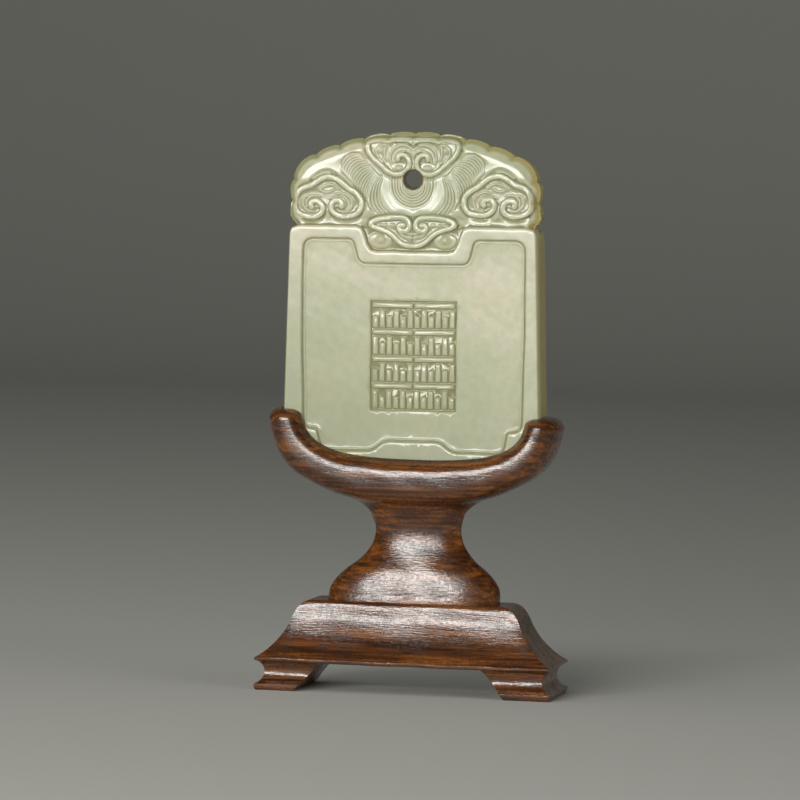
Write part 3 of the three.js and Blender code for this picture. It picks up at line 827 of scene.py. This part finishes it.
def base_profile():
    """How far the moulding stands back from the lip at each height, as (inset, z)."""
    profile = [(PAD_UNDERCUT, 0), (PAD_UNDERCUT - 0.2, 0.08), (0.08, 0.28), (0, 0.6), (0, PAD_TOP - 0.1)]
    middle, half_chord = (PAD_TOP + LIP_BOTTOM) / 2, (LIP_BOTTOM - PAD_TOP) / 2
    radius = (half_chord**2 + COVE_DEPTH**2) / (2 * COVE_DEPTH)
    for z in np.linspace(PAD_TOP, LIP_BOTTOM, 15):
        profile.append((math.sqrt(radius**2 - (z - middle) ** 2) - (radius - COVE_DEPTH), z))
    turn = (5.8, 12.2)  # where the ogee changes from hollow to round
    hollow = bezier((0, LIP_TOP), (2.6, 7.3), (4.6, 9.6), turn, 10)
    round_over = bezier(turn, (6.6, 14.2), (7.4, BASE_HEIGHT), (OGEE_INSET, BASE_HEIGHT), 12)
    return profile + [tuple(p) for p in hollow] + [tuple(p) for p in round_over[1:]]


def base_ring(inset, z):
    """A rectangle with many points on its sides, so that the long sides can be a little uneven."""
    heights, insets = through(OGEE_FRONT, 8).T
    front = np.interp(z, heights, insets) if z > LIP_TOP else inset
    half_x, half_y = BASE_WIDTH / 2 - inset, BASE_DEPTH / 2 - front
    along, across = np.linspace(-1, 1, 37)[:-1], np.linspace(-1, 1, 11)[:-1]
    ring = [(s * half_x, -half_y) for s in along] + [(half_x, s * half_y) for s in across]
    ring += [(-s * half_x, half_y) for s in along] + [(-half_x, -s * half_y) for s in across]
    return [(x, y, z) for x, y in ring]


def moulded_base(material):
    base = piece_of("footed_rosewood_base", skinned([base_ring(inset, z) for inset, z in base_profile()]))
    below = 1.0
    slope = (ARCH_HALF_FLOOR - ARCH_HALF_TOP) / ARCH_ROOF
    opening = both_sides([(ARCH_HALF_FLOOR + slope * below, -below), (ARCH_HALF_TOP, ARCH_ROOF)])
    opening[:, 0] += ARCH_SHIFT
    cut_by(base, piece_of("opening", upright_plate(opening, BASE_DEPTH)))
    modified(base, "BEVEL", width=0.11, segments=3, limit_method="ANGLE", angle_limit=math.radians(32))

    # Hand-planed mouldings: the lip and the slopes wander by a tenth of a millimetre.
    places = places_of(base)
    x, y, z = places.T
    lift = soft_step(2.0, 5.0, z) * soft_step(16.1, 15.0, z)
    places[:, 2] += 0.05 * np.sin(0.55 * x + 0.8) * lift
    places[:, 1] += 0.04 * (np.sin(0.35 * x + 0.6 * z) - 1) * np.sign(y) * lift * (np.abs(y) > 4)
    put_places(base, places)
    return finished(base, material, "footed_base", sharp=35)


# ---------------------------------------------------------------- materials

def linear(code):
    """A colour for a shader socket, from its sRGB hex code."""
    parts = [int(code[i:i + 2], 16) / 255 for i in (1, 3, 5)]
    return (*(p / 12.92 if p <= 0.04045 else ((p + 0.055) / 1.055) ** 2.4 for p in parts), 1.0)


def add_node(tree, kind, links=(), **settings):
    """Adds a node. Settings are properties or input values by name, links are (input, source socket)."""
    node = tree.nodes.new(kind)
    for name, value in settings.items():
        if hasattr(node, name):
            setattr(node, name, value)
    for name, value in settings.items():
        if not hasattr(node, name):
            node.inputs[name.replace("_", " ").title()].default_value = value
    for name, source in links:
        tree.links.new(source, node.inputs[name])
    return node


def new_material(name):
    """A material with its node tree and its Principled shader."""
    material = bpy.data.materials.new(name)
    material.use_nodes = True
    tree = material.node_tree
    shader = next(node for node in tree.nodes if node.type == "BSDF_PRINCIPLED")
    return material, tree, shader


def ramp(tree, source, stops):
    """Colours along a value, as (position, hex code)."""
    node = add_node(tree, "ShaderNodeValToRGB", [("Fac", source)])
    elements = node.color_ramp.elements
    while len(elements) < len(stops):
        elements.new(0.5)
    for element, (position, code) in zip(elements, stops):
        element.position = position
        element.color = linear(code)
    return node


def mixed(tree, share, first, second, blend="MIX"):
    """One colour laid over another. Each is a socket or a hex code."""
    node = add_node(tree, "ShaderNodeMix", data_type="RGBA", blend_type=blend)
    for slot_index, value in ((0, share), (6, first), (7, second)):
        if isinstance(value, str):
            node.inputs[slot_index].default_value = linear(value)
        elif isinstance(value, (int, float)):
            node.inputs[slot_index].default_value = value
        else:
            tree.links.new(value, node.inputs[slot_index])
    return node.outputs[2]


def per_metre(size_mm):
    """Scale of a pattern whose features are that many millimetres apart, on Object coordinates."""
    return 1 / (size_mm * METRES)


def polished_nephrite():
    """Pale celadon nephrite with a hand-rubbed polish. Light goes a little way in. Painted shade makes the
    edges olive.
    """
    material, tree, shader = new_material("polished_celadon_nephrite")
    place = add_node(tree, "ShaderNodeTexCoord").outputs["Object"]
    across = add_node(tree, "ShaderNodeSeparateXYZ", [("Vector", place)]).outputs["X"]
    clouds = add_node(tree, "ShaderNodeTexNoise", [("Vector", place)], scale=per_metre(13), detail=4.0)
    flecks = add_node(tree, "ShaderNodeTexNoise", [("Vector", place)], scale=per_metre(1.6), detail=5.0)
    body = ramp(tree, clouds.outputs["Fac"], ((0.36, "#ABB396"), (0.5, "#BABBA2"), (0.64, "#C5C1A9")))
    fleck_tone = ramp(tree, flecks.outputs["Fac"], ((0.4, "#AEB094"), (0.62, "#C6C4AC")))
    tone = mixed(tree, 0.35, body.outputs["Color"], fleck_tone.outputs["Color"])
    # The colour is a little greener and darker towards the foot, most of all on the left.
    slant = add_node(tree, "ShaderNodeVectorMath", [("Vector", place)], operation="DOT_PRODUCT")
    slant.inputs[1].default_value = (0.45, 0, 1)
    low = add_node(tree, "ShaderNodeMapRange", [("Value", slant.outputs["Value"])], clamp=True)
    low.inputs["From Min"].default_value = 0.075
    low.inputs["From Max"].default_value = 0.036
    low.inputs["To Max"].default_value = 0.85
    tone = mixed(tree, low.outputs["Result"], tone, "#8F9677")
    # Painted shade: sunk parts and grooves are darkened to a dull olive, where shade would fall.
    for name, low_stop, high_stop, most, code in (
        ("sunk", 0.3, 0.95, "#9A9A9A", "#9F9862"),
        ("groove", 0.08, 0.8, "#E4E4E4", "#86835A"),
    ):
        value = add_node(tree, "ShaderNodeAttribute", attribute_name=name).outputs["Fac"]
        share = ramp(tree, value, ((low_stop, "#000000"), (high_stop, most)))
        tone = mixed(tree, share.outputs["Color"], tone, code)
    # The edges are painted olive on the left and a lighter amber on the right: painted shade where the
    # sides turn from the light, and on the right a painted glow for light coming through the thin edge.
    sides = add_node(tree, "ShaderNodeMapRange", [("Value", across)], clamp=True)
    sides.inputs["From Min"].default_value = 0.005
    sides.inputs["From Max"].default_value = 0.024
    edge_shade_and_glow = mixed(tree, sides.outputs["Result"], "#8F8E60", "#B0A264")
    edge = add_node(tree, "ShaderNodeAttribute", attribute_name="edge").outputs["Fac"]
    tone = mixed(tree, ramp(tree, edge, ((0.1, "#000000"), (0.9, "#F0F0F0"))).outputs["Color"], tone, edge_shade_and_glow)
    bore = add_node(tree, "ShaderNodeAttribute", attribute_name="bore").outputs["Fac"]
    tone = mixed(tree, bore, tone, "#B09A58")
    tree.links.new(tone, shader.inputs["Base Color"])
    shader.inputs["Roughness"].default_value = 0.22
    shader.inputs["IOR"].default_value = 1.6
    shader.inputs["Subsurface Weight"].default_value = 0.45
    shader.inputs["Subsurface Radius"].default_value = (1.0, 0.88, 0.45)
    shader.inputs["Subsurface Scale"].default_value = 1.6 * METRES
    rub = add_node(tree, "ShaderNodeTexNoise", [("Vector", place)], scale=per_metre(0.9), detail=3.0)
    bump = add_node(
        tree, "ShaderNodeBump", [("Height", rub.outputs["Fac"])], strength=0.12, distance=0.05 * METRES,
    )
    tree.links.new(bump.outputs["Normal"], shader.inputs["Normal"])
    return material


def waxed_rosewood():
    """Dark red-brown rosewood, planed, stained and waxed: streaks and open pores run along the grain."""
    material, tree, shader = new_material("waxed_rosewood")
    place = add_node(tree, "ShaderNodeTexCoord").outputs["Object"]

    def grain(size, along, deep, detail):
        """Noise drawn out along the grain, which runs level."""
        stretched = add_node(tree, "ShaderNodeMapping", [("Vector", place)])
        stretched.inputs["Scale"].default_value = (along, deep, 1.0)
        return add_node(
            tree, "ShaderNodeTexNoise", [("Vector", stretched.outputs["Vector"])],
            scale=per_metre(size), detail=detail,
        )

    streaks = grain(0.6, 0.04, 0.6, 7.0).outputs["Fac"]
    broad = grain(3.2, 0.1, 0.7, 3.0).outputs["Fac"]
    pores = grain(0.2, 0.09, 1.0, 2.0).outputs["Fac"]
    specks = add_node(tree, "ShaderNodeTexNoise", [("Vector", place)], scale=per_metre(0.55), detail=4.0)
    mottle = add_node(tree, "ShaderNodeTexNoise", [("Vector", place)], scale=per_metre(4.0), detail=3.0)
    fine = ramp(tree, streaks, ((0.38, "#2C1507"), (0.5, "#562E11"), (0.64, "#8C5220")))
    wide = ramp(tree, broad, ((0.4, "#361B09"), (0.62, "#74461B")))
    tone = mixed(tree, 0.4, fine.outputs["Color"], wide.outputs["Color"])
    # Dark stain has gathered in specks, more of it in some places than in others.
    gathered = add_node(tree, "ShaderNodeMath", operation="MULTIPLY_ADD", use_clamp=False)
    tree.links.new(mottle.outputs["Fac"], gathered.inputs[0])
    gathered.inputs[1].default_value = 0.6
    tree.links.new(specks.outputs["Fac"], gathered.inputs[2])
    stain = ramp(tree, gathered.outputs["Value"], ((0.7, "#B0B0B0"), (0.82, "#000000")))
    tone = mixed(tree, stain.outputs["Color"], tone, "#1C0D06")
    pits = ramp(tree, pores, ((0.34, "#D0D0D0"), (0.4, "#000000")))
    tone = mixed(tree, pits.outputs["Color"], tone, "#120805")
    tree.links.new(tone, shader.inputs["Base Color"])
    # The wax shines, except in the pores and over the specks.
    dull = add_node(tree, "ShaderNodeMapRange", [("Value", gathered.outputs["Value"])], clamp=True)
    dull.inputs["From Min"].default_value = 0.84
    dull.inputs["From Max"].default_value = 0.7
    dull.inputs["To Min"].default_value = 0.2
    dull.inputs["To Max"].default_value = 0.34
    tree.links.new(dull.outputs["Result"], shader.inputs["Roughness"])
    shader.inputs["IOR"].default_value = 1.55
    shader.inputs["Coat Weight"].default_value = 0.4
    shader.inputs["Coat Roughness"].default_value = 0.14
    shader.inputs["Coat IOR"].default_value = 1.55
    relief = add_node(tree, "ShaderNodeBump", [("Height", pores)], strength=0.5, distance=0.06 * METRES)
    uneven = add_node(
        tree, "ShaderNodeBump", [("Height", specks.outputs["Fac"]), ("Normal", relief.outputs["Normal"])],
        strength=0.35, distance=0.05 * METRES,
    )
    tree.links.new(uneven.outputs["Normal"], shader.inputs["Normal"])
    tree.links.new(uneven.outputs["Normal"], shader.inputs["Coat Normal"])
    return material


def plain_matt(name, code):
    """Seamless paper: even and matt."""
    material, _, shader = new_material(name)
    shader.inputs["Base Color"].default_value = linear(code)
    shader.inputs["Roughness"].default_value = 0.75
    return material


# ---------------------------------------------------------------- stage, lights and camera

def sweep():
    """The floor, which curves up behind the object."""
    behind, tall, bend = 0.9, 1.6, 0.5
    mesh = bmesh.new()
    profile = [(-3.0, 0.0), (behind, 0.0)]
    for angle in np.linspace(0, math.pi / 2, 13)[1:]:
        profile.append((behind + bend * math.sin(angle), bend * (1 - math.cos(angle))))
    profile.append((behind + bend, tall))
    verts = [mesh.verts.new((-3.0, y, z)) for y, z in profile]
    edges = [mesh.edges.new(pair) for pair in zip(verts[:-1], verts[1:])]
    made = bmesh.ops.extrude_edge_only(mesh, edges=edges)["geom"]
    bmesh.ops.translate(mesh, verts=[v for v in made if isinstance(v, bmesh.types.BMVert)], vec=(6.0, 0, 0))
    bmesh.ops.recalc_face_normals(mesh, faces=mesh.faces)
    floor = piece_of("paper_sweep", mesh)
    floor.data.shade_smooth()
    floor.data.materials.append(plain_matt("pale_paper", "#BCBCB5"))


def soft_box(name, place, target, width, height, watts, tint=(1, 1, 1), mirrored=True):
    """A light that the polish mirrors, or one that only fills the shade."""
    data = bpy.data.lights.new(name, "AREA")
    data.shape = "RECTANGLE"
    data.size, data.size_y = width, height
    data.energy = watts
    data.color = tint
    light = bpy.data.objects.new(name, data)
    bpy.context.scene.collection.objects.link(light)
    towards = Vector(target) - Vector(place)
    light.rotation_euler = towards.to_track_quat("-Z", "Y").to_euler()
    light.location = place
    light.visible_glossy = mirrored


def around(target, azimuth, elevation, distance):
    """A place round the target: azimuth to the right of the front, and elevation, in degrees."""
    a, e = math.radians(azimuth), math.radians(elevation)
    return target + distance * Vector((math.sin(a) * math.cos(e), -math.cos(a) * math.cos(e), math.sin(e)))


def studio(target):
    soft_box("key_box", around(target, -14, 11, 0.8), target, 0.62, 0.17, 5.3, (1.0, 0.985, 0.96))
    soft_box("high_box", around(target, -50, 55, 0.9), target, 0.9, 0.9, 2.6, mirrored=False)
    soft_box("side_box", around(target, 68, 8, 0.8), target, 0.5, 0.5, 2.2, mirrored=False)
    world = bpy.data.worlds.new("room")
    world.use_nodes = True
    background = world.node_tree.nodes["Background"]
    background.inputs["Color"].default_value = linear("#BFC1BC")
    background.inputs["Strength"].default_value = 0.07
    bpy.context.scene.world = world


def camera():
    """Looks from 13 degrees to the right and a little above, through a long lens, tilted by a degree."""
    low, high = (Vector(corner) for corner in cad_bounds)
    target = Vector((-0.0029, 0.0, (low.z + high.z) / 2 + 0.0021))
    azimuth, elevation, roll = math.radians(13), math.radians(3.5), math.radians(1.0)
    back = Vector((
        math.sin(azimuth) * math.cos(elevation),
        -math.cos(azimuth) * math.cos(elevation),
        math.sin(elevation),
    ))
    right = Vector((0, 0, 1)).cross(back).normalized()
    up = back.cross(right)
    turned_right = right * math.cos(roll) + up * math.sin(roll)
    turned_up = up * math.cos(roll) - right * math.sin(roll)
    distance = 1.0
    data = bpy.data.cameras.new("camera")
    data.sensor_width = 36
    data.lens = 251
    data.clip_end = 20
    seen_from = bpy.data.objects.new("camera", data)
    turn = Matrix((turned_right, turned_up, back)).transposed().to_4x4()
    seen_from.matrix_world = Matrix.Translation(target + back * distance) @ turn
    bpy.context.scene.collection.objects.link(seen_from)
    bpy.context.scene.camera = seen_from
    return target


# ---------------------------------------------------------------- making

stand_wood = waxed_rosewood()
moulded_base(stand_wood)
carved_cradle(stand_wood)
carved_plaque(polished_nephrite())

sweep()
studio(camera())
bpy.context.scene.view_settings.view_transform = "Standard"
